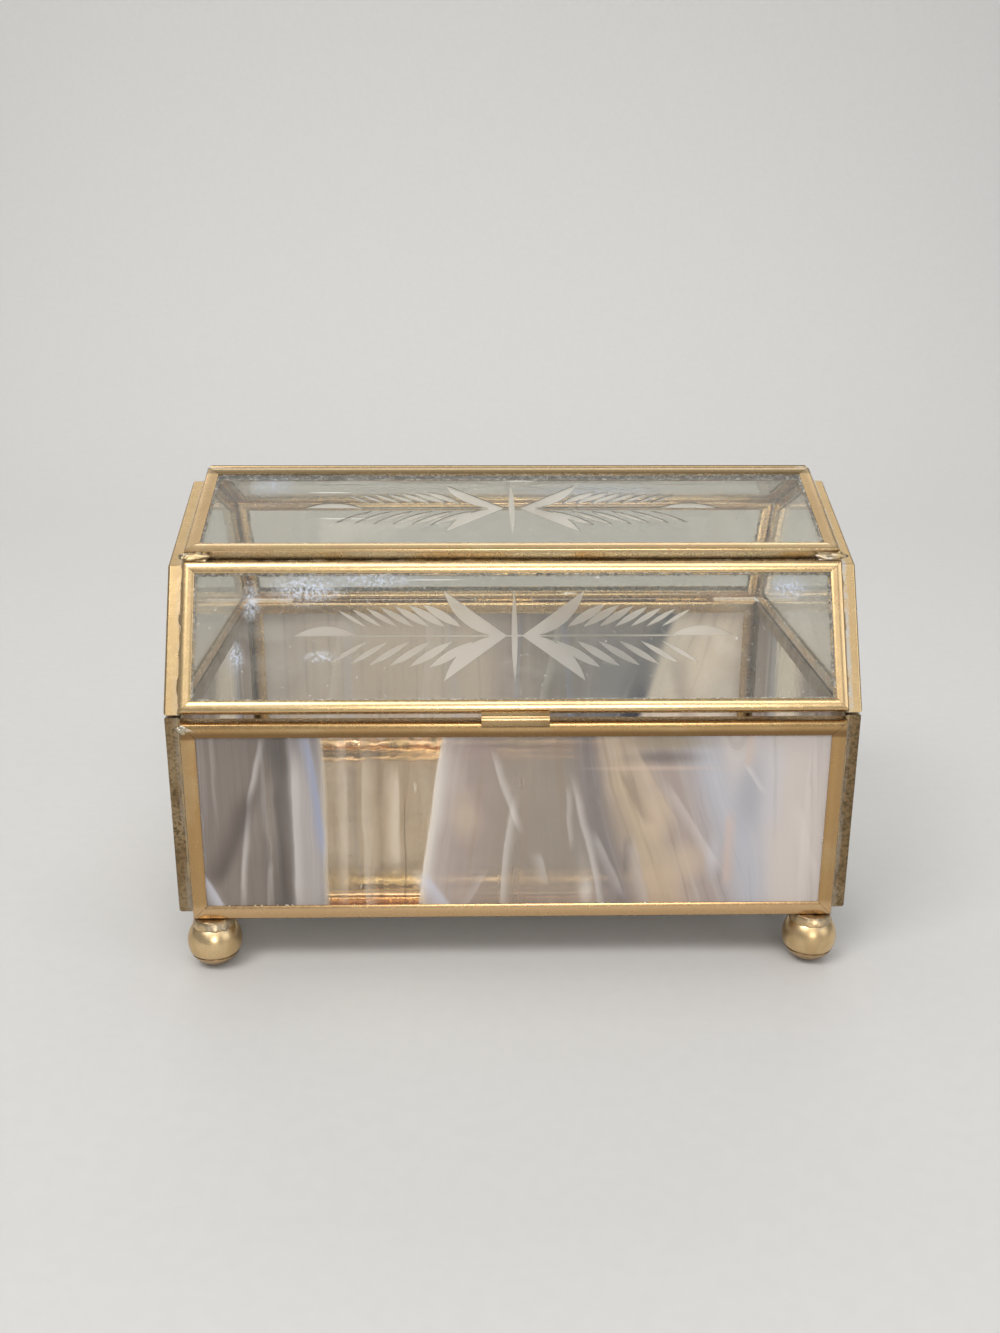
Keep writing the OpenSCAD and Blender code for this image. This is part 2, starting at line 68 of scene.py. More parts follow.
# Node helpers
class Shade:
    """A new material, with short calls for its nodes. A value is a number, a colour or a socket."""

    def __init__(self, name):
        self.mat = bpy.data.materials.new(name)
        self.mat.use_nodes = True
        self.tree = self.mat.node_tree
        self.bsdf = self.tree.nodes["Principled BSDF"]
        self.out = self.tree.nodes["Material Output"]
        self.place = self.add("ShaderNodeTexCoord").outputs["Object"]

    def add(self, kind, **settings):
        node = self.tree.nodes.new(kind)
        for key, value in settings.items():
            setattr(node, key, value)
        return node

    def put(self, socket, value):
        if isinstance(value, bpy.types.NodeSocket):
            self.tree.links.new(value, socket)
        elif isinstance(value, (tuple, list)) and len(value) == 3 and len(socket.default_value) == 4:
            socket.default_value = (*value, 1)
        else:
            socket.default_value = value

    def set(self, **sockets):
        for name, value in sockets.items():
            self.put(self.bsdf.inputs[name.replace("_", " ")], value)

    def math(self, operation, a, b=0.0, c=0.0):
        node = self.add("ShaderNodeMath", operation=operation)
        for socket, value in zip(node.inputs, (a, b, c)):
            self.put(socket, value)
        return node.outputs[0]

    def times(self, a, b):
        return self.math("MULTIPLY", a, b)

    def vector(self, operation, a, b):
        node = self.add("ShaderNodeVectorMath", operation=operation)
        self.put(node.inputs[0], a)
        self.put(node.inputs[1], tuple(b))
        return node

    def dot(self, vector, direction):
        return self.vector("DOT_PRODUCT", vector, direction).outputs["Value"]

    def axis(self, index):
        direction = [0.0, 0.0, 0.0]
        direction[index] = 1.0
        return self.dot(self.place, direction)

    def stretched(self, scale, shift=(0, 0, 0)):
        node = self.add("ShaderNodeMapping")
        self.put(node.inputs["Vector"], self.place)
        node.inputs["Scale"].default_value = scale
        node.inputs["Location"].default_value = shift
        return node.outputs[0]

    def noise(self, scale, detail=3.0, roughness=0.5, distortion=0.0, vector=None):
        node = self.add("ShaderNodeTexNoise")
        self.put(node.inputs["Vector"], vector or self.place)
        self.put(node.inputs["Scale"], scale)
        self.put(node.inputs["Detail"], detail)
        self.put(node.inputs["Roughness"], roughness)
        self.put(node.inputs["Distortion"], distortion)
        return node.outputs["Fac"]

    def step(self, value, start, end, low=0.0, high=1.0):
        """A smooth step of value, from low at start to high at end."""
        node = self.add("ShaderNodeMapRange", interpolation_type="SMOOTHSTEP")
        for socket, given in zip(node.inputs, (value, start, end, low, high)):
            self.put(socket, given)
        return node.outputs["Result"]

    def spot(self, middle, radii, edge=0.3):
        """A soft spot: 1 inside the share edge of its radii and 0 past them."""
        offset = self.vector("SUBTRACT", self.place, middle).outputs[0]
        scaled = self.vector("MULTIPLY", offset, [1 / r for r in radii]).outputs[0]
        return self.step(self.vector("LENGTH", scaled, (0, 0, 0)).outputs["Value"], 1.0, edge)

    def mix(self, factor, a, b):
        node = self.add("ShaderNodeMix", data_type="RGBA")
        self.put(node.inputs["Factor"], factor)
        self.put(node.inputs[6], a)
        self.put(node.inputs[7], b)
        return node.outputs[2]

    def ramp(self, factor, stops):
        node = self.add("ShaderNodeValToRGB")
        self.put(node.inputs[0], factor)
        ramp = node.color_ramp
        ramp.interpolation = "EASE"
        for number, (position, colour) in enumerate(stops):
            if number < 2:
                stop = ramp.elements[number]
                stop.position = position
            else:
                stop = ramp.elements.new(position)
            stop.color = (*colour, 1)
        return node.outputs[0]

    def bump(self, height, strength, distance, normal=None):
        node = self.add("ShaderNodeBump")
        self.put(node.inputs["Height"], height)
        self.put(node.inputs["Strength"], strength)
        node.inputs["Distance"].default_value = distance
        if normal is not None:
            self.put(node.inputs["Normal"], normal)
        return node.outputs[0]

    def let_light_in(self, shader):
        """Lets the lamps' light straight through a pane, so that they light what is behind it."""
        path = self.add("ShaderNodeLightPath").outputs["Is Shadow Ray"]
        clear = self.add("ShaderNodeBsdfTransparent")
        clear.inputs[0].default_value = (0.80, 0.83, 0.81, 1)
        both = self.add("ShaderNodeMixShader")
        self.put(both.inputs[0], path)
        self.put(both.inputs[1], shader)
        self.put(both.inputs[2], clear.outputs[0])
        self.put(self.out.inputs["Surface"], both.outputs[0])


# Panels
class Pane:
    """A pane's place: its inner bottom edge, outward and upward directions, length and frame lip.

    shoulder is 1 if its top edge meets the shoulder seam, -1 if its bottom edge does, else 0."""

    def __init__(self, foot, out, up, length, lip, shoulder=0):
        self.foot = foot
        self.out = out
        self.up = up
        self.length = length
        self.lip = lip
        self.shoulder = shoulder

    def mirrored(self):
        flip = Matrix.Scale(-1, 3, (0, 1, 0))
        turned = [flip @ vector for vector in (self.foot, self.out, self.up)]
        return Pane(*turned, self.length, self.lip, self.shoulder)

    def at(self, x, v):
        """The point x millimetres right of the middle and v millimetres up the outer face."""
        return Vector((x * MM, 0, 0)) + self.foot + self.up * v * MM + self.out * GLASS_FACE

    def height(self, s):
        """How far a point of the shaded surface lies up the pane."""
        return s.math("SUBTRACT", s.dot(s.place, self.up), self.foot.dot(self.up))

    def depth(self, s):
        """How far a point of the shaded surface lies out from the frame's inner face."""
        return s.math("SUBTRACT", s.dot(s.place, self.out), self.foot.dot(self.out))


LID_WALL = Pane(LID_FOOT, WALL_OUT, WALL_UP, WALL_L, LID_LIP, 1)
ROOF = Pane(SHOULDER, ROOF_OUT, ROOF_UP, ROOF_L, ROOF_LIP, -1)
BASE_WALL = Pane(FRONT_FOOT, FRONT_OUT, FRONT_UP, RIM_Z - FOOT_H, BASE_LIP)


# Brass
GOLD = (0.68, 0.50, 0.26)
COPPER = (0.62, 0.40, 0.22)
BROWN = (0.30, 0.20, 0.10)
PALE = (0.78, 0.64, 0.40)
OLD_GOLD = (0.50, 0.33, 0.15)
OLD_COPPER = (0.46, 0.28, 0.12)
WORN = (0.19, 0.14, 0.08)
SOFT_GOLD = (0.54, 0.39, 0.20)
TIN = (0.60, 0.57, 0.51)
DULL = (0.11, 0.08, 0.042)


def base_painted_light(s, colour, strength):
    """Painted light on the base's front: a painted golden sheen along the top edge, a painted highlight
    on the bottom rail, and painted shade on the lower half of the top rail and on its web under the lid.
    """
    z = s.axis(2)
    y = s.axis(1)
    # Painted highlight: the bottom rail lighter
    painted_low_rail_sheen = s.step(z, FOOT_H + 4.2 * MM, FOOT_H + 2.4 * MM, 0.0, strength)
    colour = s.mix(painted_low_rail_sheen, colour, (0.64, 0.43, 0.23))
    # Painted sheen: the top edge more golden
    painted_top_sheen = s.step(z, RIM_Z - 1.9 * MM, RIM_Z - 0.7 * MM, 0.0, strength)
    colour = s.mix(painted_top_sheen, colour, OLD_GOLD)
    # Painted shade: the lower half of the top rail darker
    below_middle = s.step(z, RIM_Z - 1.4 * MM, RIM_Z - 2.6 * MM)
    painted_lower_shade = s.times(below_middle, s.step(z, RIM_Z - 4 * MM, RIM_Z - 3.3 * MM))
    colour = s.mix(s.times(painted_lower_shade, strength), colour, (0.24, 0.14, 0.06))
    # Painted shade on the top web, in the gap under the lid
    behind_edge = s.step(y, -BOX_HALF_Y + 0.5 * MM, -BOX_HALF_Y + 1.0 * MM)
    web = s.times(s.step(z, RIM_Z - 0.6 * MM, RIM_Z - 0.2 * MM), behind_edge)
    return s.mix(s.times(web, strength), colour, (0.34, 0.22, 0.10))


def dark_specks(s, strength):
    """Where dark specks cover the metal, in upright patches."""
    specks = s.step(s.noise(1500, 3, 0.65), 0.42, 0.62, 0.0, strength)
    patches = s.step(s.noise(140, 3, 0.6, 0.0, s.stretched((1, 1, 0.4))), 0.35, 0.60, 0.5, 1.0)
    return s.times(specks, patches)


def tinned_strips(s, left, right):
    """Where solder has run over the strips beside the left and right seams, and how much of it."""
    across = s.math("ABSOLUTE", s.axis(0))
    beside = s.step(across, PANEL_HALF + 2.2 * MM, PANEL_HALF + 1.6 * MM)
    patchy = s.step(s.noise(300, 4, 0.65, 0.2, s.stretched((1, 1, 0.3))), 0.34, 0.60)
    side = s.step(s.axis(0), -MM, MM, left, right)
    return s.times(s.times(beside, patchy), side)


def rail_swell(s, pane):
    """1 along the middle of each rail of a pane's frame and 0 at its edges."""
    up = pane.height(s)
    from_side = s.math("SUBTRACT", s.math("ABSOLUTE", s.axis(0)), PANEL_HALF - pane.lip)
    past_top = s.math("SUBTRACT", up, pane.length - pane.lip)
    past_rail = s.math("MAXIMUM", s.math("SUBTRACT", pane.lip, up), past_top)
    across = s.math("DIVIDE", s.math("MAXIMUM", past_rail, from_side), pane.lip / 2)
    across = s.math("SUBTRACT", across, 1.0)
    return s.math("MULTIPLY_ADD", s.times(across, across), -1.0, 1.0)


def seam_tin_and_painted_shade(s, pane, colour):
    """Tin in the shoulder seam, painted shade at the bottom of its groove, and painted shade on the rail
    at the ridge.
    """
    up = pane.height(s)
    depth = pane.depth(s)
    above_middle = s.times(s.math("SUBTRACT", up, pane.length / 2), pane.shoulder)
    web = s.times(s.step(depth, 3.7 * MM, 3.2 * MM), s.step(above_middle, 0.0, 5 * MM))
    web = s.times(web, s.step(depth, 0.45 * MM, 0.8 * MM))
    runs = s.step(s.noise(110, 3, 0.6, 0.2, s.stretched((0.5, 1, 1))), 0.36, 0.56, 0.45, 0.90)
    colour = s.mix(s.times(web, runs), colour, (0.66, 0.61, 0.50))
    # Painted shade deep in the seam's groove
    painted_groove_shade = s.times(web, s.step(depth, 2.3 * MM, 1.5 * MM, 0.0, 0.85))
    colour = s.mix(painted_groove_shade, colour, (0.14, 0.10, 0.06))
    # Painted shade: the ridge rail darker
    if pane.shoulder == -1:
        past_top = s.math("SUBTRACT", up, pane.length - pane.lip)
        painted_ridge_shade = s.step(past_top, -0.4 * MM, 0.4 * MM, 0.0, 0.8)
        colour = s.mix(painted_ridge_shade, colour, (0.24, 0.175, 0.09))
    return colour


def brass(name, pane=None, metal=GOLD, other=COPPER, share=0.3, roughness=0.25, painted_light_strength=0.0,
          dull=0.0, tinned=(0.0, 0.0)):
    """Aged satin brass that drifts softly into another tone, up to share of it.

    pane is the pane whose frame it covers. The argument after roughness is the strength of the painted
    highlights and painted shade on the base's front, dull that of the dark specks, and tinned how much
    solder has run over the strips beside both seams."""
    s = Shade(name)
    cloud = s.noise(24, 2, 0.5, 0.3)
    mottle = s.noise(75, 2, 0.5, 0.4)
    fine = s.noise(800, 2, 0.5)
    colour = s.mix(s.step(cloud, 0.38, 0.64, 0.0, share), metal, other)
    colour = s.mix(s.step(mottle, 0.54, 0.74, 0.0, 0.15), colour, BROWN)
    colour = s.mix(s.step(mottle, 0.46, 0.30, 0.0, 0.16), colour, PALE)
    # Painted highlights and painted shade on the base's front
    if painted_light_strength:
        colour = base_painted_light(s, colour, painted_light_strength)
    rough = s.step(fine, 0.3, 0.7, roughness - 0.02, roughness + 0.03)
    if dull:
        specks = dark_specks(s, dull)
        colour = s.mix(specks, colour, DULL)
        rough = s.math("MULTIPLY_ADD", specks, 0.15, rough)
    if max(tinned) > 0:
        colour = s.mix(tinned_strips(s, *tinned), colour, TIN)
    normal = s.bump(s.noise(70, 1, 0.5), 0.08, 0.3 * MM)
    if pane:
        normal = s.bump(rail_swell(s, pane), 1.0, 0.24 * MM, normal)
    # Tin, and painted shade in the seam and at the ridge
    if pane and pane.shoulder:
        colour = seam_tin_and_painted_shade(s, pane, colour)
    normal = s.bump(fine, 0.012, 0.05 * MM, normal)
    s.set(Base_Color=colour, Metallic=1.0, Roughness=rough, Normal=normal)
    return s.mat


def foot_metal(name):
    """Smooth brass ball with painted shade on its underside, in its turned ring and on its top under the
    frame, and dull solder run down from its top.
    """
    s = Shade(name)
    z = s.axis(2)
    cloud = s.noise(180, 3, 0.5, 0.3)
    colour = s.mix(s.step(cloud, 0.40, 0.66, 0.0, 0.6), (0.76, 0.56, 0.31), (0.54, 0.38, 0.19))
    # Painted shade: the underside darker
    colour = s.mix(s.step(z, 4.6 * MM, 1.0 * MM, 0.0, 0.75), colour, (0.26, 0.16, 0.08))
    # Painted shade in the turned ring's groove
    ring = s.math("ABSOLUTE", s.math("SUBTRACT", z, FOOT_PLACE.z - 2.6 * MM))
    colour = s.mix(s.step(ring, 0.34 * MM, 0.16 * MM, 0.0, 0.9), colour, (0.16, 0.10, 0.05))
    run = s.math("MULTIPLY_ADD", s.noise(230, 4, 0.6, 0.3), 6.0 * MM, z)
    run = s.step(run, 12.2 * MM, 13.6 * MM)
    stain = s.step(s.noise(420, 3, 0.6), 0.40, 0.60)
    colour = s.mix(s.times(run, s.step(stain, 0.0, 1.0, 0.70, 0.15)), colour, (0.36, 0.32, 0.26))
    # Painted shade: the top darker, under the frame
    colour = s.mix(s.step(z, FOOT_H - 0.9 * MM, FOOT_H - 0.2 * MM, 0.0, 0.7), colour, (0.20, 0.14, 0.08))
    rough = s.math("MULTIPLY_ADD", run, 0.10, s.step(cloud, 0.3, 0.7, 0.26, 0.36))
    normal = s.bump(s.noise(520, 3, 0.55), s.times(run, 0.35), 0.10 * MM)
    s.set(Base_Color=colour, Metallic=1.0, Roughness=rough, Normal=normal)
    return s.mat


def solder(name, metal):
    """Solder of the given tone with brassy stains and dark flux in its hollows."""
    s = Shade(name)
    lumps = s.noise(420, 3, 0.55, 0.4)
    stain = s.noise(170, 3, 0.6)
    colour = s.mix(s.step(stain, 0.40, 0.62), metal, (0.50, 0.38, 0.21))
    colour = s.mix(s.step(lumps, 0.46, 0.28, 0.0, 0.7), colour, (0.20, 0.16, 0.12))
    rough = s.step(stain, 0.3, 0.7, 0.26, 0.45)
    swell = s.bump(lumps, 0.35, 0.3 * MM)
    grain = s.bump(s.noise(1800, 3), 0.2, 0.04 * MM, swell)
    s.set(Base_Color=colour, Metallic=1.0, Roughness=rough, Normal=grain)
    return s.mat


# Clear glass
def grime_at_rails(s, pane):
    """The patchy dirty edge of the glass along its channel."""
    up = pane.height(s)
    from_bottom = s.math("SUBTRACT", up, pane.lip)
    from_rail = s.math("MINIMUM", from_bottom, s.math("SUBTRACT", pane.length - pane.lip, up))
    from_side = s.math("SUBTRACT", PANEL_HALF - pane.lip, s.math("ABSOLUTE", s.axis(0)))
    edge = s.step(s.math("MINIMUM", from_rail, from_side), 0.55 * MM, 0.0)
    return s.times(edge, s.step(s.noise(500, 3, 0.6), 0.40, 0.60, 0.15, 0.9))


def clear_glass(name, pane=None, cut=True, smears=(), scratches=()):
    """Clear glass with a faint green-grey tint, smudges, specks of dried flux and a dirty edge.

    Where a leaf spray is cut into the pane, what lies below its outer face is ground. smears holds the
    place, radii and strength of each fingerprint, and scratches the place and length of each scratch,
    in millimetres."""
    s = Shade(name)
    smear = s.noise(34, 4, 0.62, 1.2, s.stretched((1, 1, 2.2)))
    wipe = s.noise(220, 3, 0.55, 0.3, s.stretched((1, 1, 3.0)))
    dust = s.step(s.noise(1300, 2, 0.5), 0.69, 0.75)
    speckle = s.noise(1300, 3, 0.7, 0.3)
    haze = s.times(s.step(smear, 0.50, 0.80), s.step(wipe, 0.3, 0.7, 0.6, 1.0))
    film = s.math("MULTIPLY_ADD", haze, 0.13, 0.03)
    film = s.math("MAXIMUM", film, s.times(dust, 0.45))
    colour = s.mix(film, (0.765, 0.76, 0.705), (0.80, 0.79, 0.74))
    rough = s.math("MULTIPLY_ADD", haze, 0.05, 0.01)
    normal = s.bump(s.noise(40, 1), 0.04, 0.4 * MM)
    for (x, v), radii, amount in smears:
        patch = s.spot(pane.at(x, v), [r * MM for r in radii], 0.1)
        mask = s.times(patch, s.step(speckle, 0.38, 0.62, 0.1, 1.0))
        film = s.math("MAXIMUM", film, s.times(mask, amount))
        colour = s.mix(mask, colour, (0.70, 0.77, 0.92))
    for (x, v), length in scratches:
        line = s.spot(pane.at(x, v), (length * MM, 0.3 * MM, 0.12 * MM), 0.5)
        film = s.math("MAXIMUM", film, s.times(line, 0.7))
    if pane:
        grime = grime_at_rails(s, pane)
        film = s.math("MAXIMUM", film, s.times(grime, 0.75))
        dirt = s.mix(s.step(speckle, 0.5, 0.56), (0.16, 0.13, 0.11), (0.75, 0.74, 0.70))
        colour = s.mix(grime, colour, dirt)
    if pane and cut:
        depth = pane.depth(s)
        ground = s.times(s.math("LESS_THAN", depth, CUT_LEVEL), s.math("GREATER_THAN", depth, 1 * MM))
        grain = s.noise(2300, 2, 0.6)
        film = s.math("MAXIMUM", film, s.times(ground, s.step(s.noise(60, 2), 0.3, 0.7, 0.18, 0.36)))
        rough = s.math("MAXIMUM", rough, s.times(ground, 0.35))
        colour = s.mix(ground, colour, (0.76, 0.73, 0.67))
        normal = s.bump(s.times(grain, ground), 0.3, 0.04 * MM, normal)
    through = s.math("SUBTRACT", 1.0, film)
    s.set(Base_Color=colour, Roughness=rough, IOR=1.5, Transmission_Weight=through, Normal=normal)
    s.let_light_in(s.bsdf.outputs[0])
    return s.mat


# Streaked glass
MAUVE = (0.54, 0.46, 0.43)
GREY = (0.48, 0.42, 0.38)
DARK = (0.16, 0.13, 0.12)
AMBER = (1.0, 0.91, 0.78)
CREAM = (0.74, 0.61, 0.47)
BLUISH = (0.64, 0.64, 0.69)
WHITE = (0.84, 0.80, 0.78)
PINK = (0.72, 0.66, 0.63)
LIGHT = (0.94, 0.85, 0.77)
BLUE = (0.42, 0.47, 0.66)
ROSE = (0.72, 0.56, 0.48)
ASH = (0.35, 0.30, 0.27)
SMOKE = (0.56, 0.49, 0.43)


class Slag:
    """What is drawn in one streaked pane, in millimetres along it from its middle and up from its lip.

    zones: place, tone, how much shows through.
    leans: start and end of a change of the zones' lean, and the change.
    veils: foot, lean, bend, width to the left and to the right, tone, strength, lowest, highest.
    spots: x, v, radii, tone, strength.
    shift moves the noise, axis is the way along the pane, half is half its length, and glow is how much
    light the opal parts scatter through."""

    def __init__(self, zones, leans, veils, spots, shift=(0, 0, 0), axis=0, half=72.0, glow=0.4):
        self.zones = zones
        self.leans = leans
        self.veils = veils
        self.spots = spots
        self.shift = shift
        self.axis = axis
        self.half = half
        self.glow = glow


FRONT = Slag(
    zones=[
        (-68, ASH, 0.42),
        (-58, ASH, 0.42),
        (-50, (0.20, 0.18, 0.17), 0.52),
        (-48.6, (0.39, 0.355, 0.35), 0.24),
        (-43, (0.38, 0.355, 0.36), 0.28),
        (-41.0, AMBER, 0.98),
        (-21, AMBER, 0.98),
        (-20, MAUVE, 0.45),
        (-12, MAUVE, 0.60),
        (-4, SMOKE, 0.72),
        (14, SMOKE, 0.70),
        (24, (0.38, 0.34, 0.34), 0.58),
        (33, CREAM, 0.50),
        (44, MAUVE, 0.35),
        (54, (0.60, 0.60, 0.65), 0.16),
        (60, PINK, 0.12),
        (68, PINK, 0.14),
    ],
    leans=[
        (-38, -24, 0.13),
        (-2, 24, -0.45),
        (46, 56, 0.25),
    ],
    veils=[
        # Grey left third, with its thin folded streaks
        (-61.0, 0.03, 0.0034, 0.7, 1.4, WHITE, 0.55, -5, 45),
        (-68.4, 0.41, 0.0, 5.0, 3.0, DARK, 0.70, 2, 30),
        (-51.4, 0.0, -0.0007, 1.2, 3.6, DARK, 0.60, -5, 36),
        (-55.5, 0.08, 0.0, 0.6, 1.6, WHITE, 0.25, -5, 12),
        # Pale band beside the amber stretch, with a blue edge
        (-48.7, 0.01, 0.0, 0.4, 2.4, WHITE, 0.50, -5, 40),
        (-41.8, -0.01, -0.0018, 2.4, 1.0, BLUE, 0.70, 8, 45),
        # Faint streaks and a dark thread in the amber stretch
        (-24.6, 0.0, 0.0, 0.25, 0.25, DARK, 0.55, -5, 30),
        (-37.6, 0.03, -0.0004, 2.6, 0.9, LIGHT, 0.15, -8, 54),
        (-33.0, -0.02, 0.0006, 0.6, 3.4, LIGHT, 0.15, -16, 44),
        (-26.2, 0.0, 0.0, 3.4, 0.9, LIGHT, 0.26, 6, 36),
        (-35.0, 0.0, 0.0, 1.0, 0.8, DARK, 0.16, 4, 60),
        (-29.6, 0.0, 0.0, 1.2, 0.8, DARK, 0.14, -10, 44),
        # White fold right of it, and the two bluish wedges at the foot of the pane
        (-21.4, 0.135, 0.0002, 0.5, 3.4, WHITE, 0.65, -5, 45),
        (-65.3, -0.50, 0.0, 4.0, 0.9, (0.78, 0.78, 0.86), 0.80, -9, 10),
        (-15.6, -0.60, 0.0, 5.0, 1.4, (0.70, 0.72, 0.84), 0.65, -9, 9),
        # Crossing folds in the middle
        (8.6, -0.50, 0.0035, 0.5, 2.0, WHITE, 0.50, 16, 38),
        (-2.75, 0.005, 0.0033, 0.5, 2.2, WHITE, 0.50, -5, 28),
        (-11.0, 0.60, 0.0, 2.6, 0.5, WHITE, 0.22, -4, 9),
        (19.2, -0.20, -0.0004, 0.7, 1.8, WHITE, 0.50, -5, 33),
        (25.1, -0.42, 0.0, 2.6, 0.7, WHITE, 0.32, 0, 19),
        (13.2, -0.05, 0.0, 0.5, 1.5, WHITE, 0.30, 12, 30),
        (7.5, 0.0, -0.012, 3.0, 0.6, WHITE, 0.30, 4, 13),
        # Cream and bluish right half
        (24.2, 0.03, 0.0, 0.9, 2.4, DARK, 0.35, 6, 17),
        (38.0, -0.46, 0.0, 1.0, 3.4, DARK, 0.32, 18, 33),
        (46.5, -0.55, 0.0, 3.0, 0.8, CREAM, 0.40, 18, 40),
        (51.6, -0.62, 0.0, 3.2, 0.9, WHITE, 0.34, 6, 31),
        (47.7, 0.0, 0.0, 1.6, 2.6, ROSE, 0.60, 2, 24),
        (72.0, -0.65, 0.0, 0.5, 1.6, WHITE, 0.45, 26, 34),
        (57.0, 0.0, 0.0, 5.0, 3.2, BLUISH, 0.50, 16, 40),
        (70.0, -0.30, 0.0, 4.0, 0.8, WHITE, 0.25, 4, 26),
        (49.0, 0.05, 0.0, 1.0, 2.0, ROSE, 0.50, 32, 42),
        (30.0, -0.30, 0.004, 4.0, 0.8, BLUISH, 0.30, -4, 18),
        (64.0, 0.02, 0.0, 0.8, 3.0, WHITE, 0.22, -4, 44),
    ],
    spots=[
        (-11, 21, (5, 9), CREAM, 0.5),
        (30.7, 21, (6, 8), CREAM, 0.7),
        (38.7, 10, (7, 7), CREAM, 0.6),
        (16.0, 3, (2.0, 4.5), WHITE, 0.5),
        (44.5, 11, (2.6, 8), BLUISH, 0.6),
        (52.0, 26, (5.0, 13), (0.40, 0.41, 0.46), 0.5),
        # The floor seam behind the pane, painted on it dimly: its colour, a painted shade line and a
        # painted highlight line
        (32.5, 38.8, (17, 3.0), (0.46, 0.38, 0.27), 0.80),
        (32.0, 35.1, (13, 2.4), (0.24, 0.21, 0.20), 0.75),
        (31.0, 32.6, (20, 0.9), (0.78, 0.62, 0.52), 0.45),
        # Seeds and dark specks
        (-34.2, 8.0, (0.35, 0.8), DARK, 0.8),
        (-36.2, 20.5, (0.4, 0.4), DARK, 0.6),
        (-22.2, 28.0, (0.5, 1.6), (0.5, 0.44, 0.34), 0.6),
    ],
)
BACK = Slag(
    zones=[
        (-68, PINK, 0.20),
        (-40, (0.72, 0.63, 0.56), 0.18),
        (-8, (0.76, 0.67, 0.60), 0.20),
        (2, MAUVE, 0.40),
        (14, (0.38, 0.34, 0.32), 0.45),
        (28, (0.36, 0.35, 0.37), 0.40),
        (36, (0.10, 0.11, 0.15), 0.30),
        (38.5, LIGHT, 0.10),
        (60, LIGHT, 0.10),
        (68, PINK, 0.18),
    ],
    leans=[
        (20, 40, 0.3),
    ],
    veils=[
        (-52.0, 0.10, 0.001, 0.8, 3.0, WHITE, 0.50, -5, 45),
        (-44.0, -0.06, 0.002, 4.0, 1.5, BLUISH, 0.45, -5, 45),
        (-26.0, 0.18, -0.002, 0.8, 3.4, WHITE, 0.45, -5, 45),
        (-12.0, -0.10, 0.0, 4.0, 1.5, BLUISH, 0.40, -5, 45),
        (3.0, 0.05, 0.0, 2.0, 1.0, BLUE, 0.40, -5, 45),
        (8.0, 0.20, 0.0, 0.6, 2.6, WHITE, 0.45, -5, 45),
        (20.0, -0.10, 0.0, 0.6, 2.6, BLUE, 0.50, -5, 45),
        (56.0, -0.30, 0.002, 3.0, 5.0, MAUVE, 0.60, -5, 30),
    ],
    spots=[
        (47, 22, (9, 16), (0.90, 0.84, 0.78), 0.6),
        (-60, 10, (6, 9), CREAM, 0.5),
    ],
    shift=(0.4, 0.2, 0.1),
    glow=0.75,
)
END = Slag(
    zones=[
        (-44, PINK, 0.20),
        (-26, MAUVE, 0.30),
        (-12, GREY, 0.50),
        (-2, AMBER, 0.80),
        (12, AMBER, 0.80),
        (16, BLUISH, 0.15),
        (28, MAUVE, 0.35),
        (44, PINK, 0.20),
    ],
    leans=[
        (-20, 20, 0.2),
    ],
    veils=[
        (-34.0, 0.15, 0.002, 0.8, 3.0, WHITE, 0.50, -5, 45),
        (-20.0, -0.10, 0.0, 4.0, 1.6, DARK, 0.50, -5, 45),
        (-5.0, 0.05, 0.001, 0.6, 1.8, WHITE, 0.45, -5, 45),
        (13.5, 0.12, -0.001, 0.8, 3.2, WHITE, 0.55, -5, 45),
        (33.0, -0.22, 0.003, 0.8, 2.6, WHITE, 0.45, -5, 45),
        (26.0, 0.06, 0.0, 3.6, 1.4, DARK, 0.40, -5, 45),
    ],
    spots=[
        (-38, 28, (5, 9), BLUISH, 0.6),
    ],
    shift=(0.1, 0.7, 0.3),
    axis=1,
    half=47.0,
    glow=0.7,
)


def slag_place(s, slag):
    """A point's place along and up the pane, in millimetres, with a little waver."""
    drift = s.noise(30, 3, 0.5, 0.0, s.stretched((1, 1, 0.3), slag.shift))
    x = s.math("DIVIDE", s.axis(slag.axis), MM)
    x = s.math("ADD", x, s.math("MULTIPLY_ADD", drift, 2.4, -1.2))
    waver = s.noise(130, 2, 0.5, 0.0, s.stretched((1, 1, 0.6), slag.shift))
    x = s.math("ADD", x, s.math("MULTIPLY_ADD", waver, 1.4, -0.7))
    v = s.math("DIVIDE", s.math("SUBTRACT", s.axis(2), FOOT_H + BASE_LIP), MM)
    return x, v


def slag_zones(s, slag, x, v):
    """The soft upright zones: the place across them, their tone and how much shows through."""
    where = x
    for start, end, lean in slag.leans:
        where = s.math("SUBTRACT", where, s.times(v, s.step(x, start, end, 0.0, lean)))
    where = s.math("MULTIPLY_ADD", where, 0.5 / slag.half, 0.5)
    stops = [(0.5 + place / slag.half / 2, tone, share) for place, tone, share in slag.zones]
    tone = s.ramp(where, [(place, colour) for place, colour, _ in stops])
    clear = s.ramp(where, [(place, (share,) * 3) for place, _, share in stops])
    return where, tone, clear


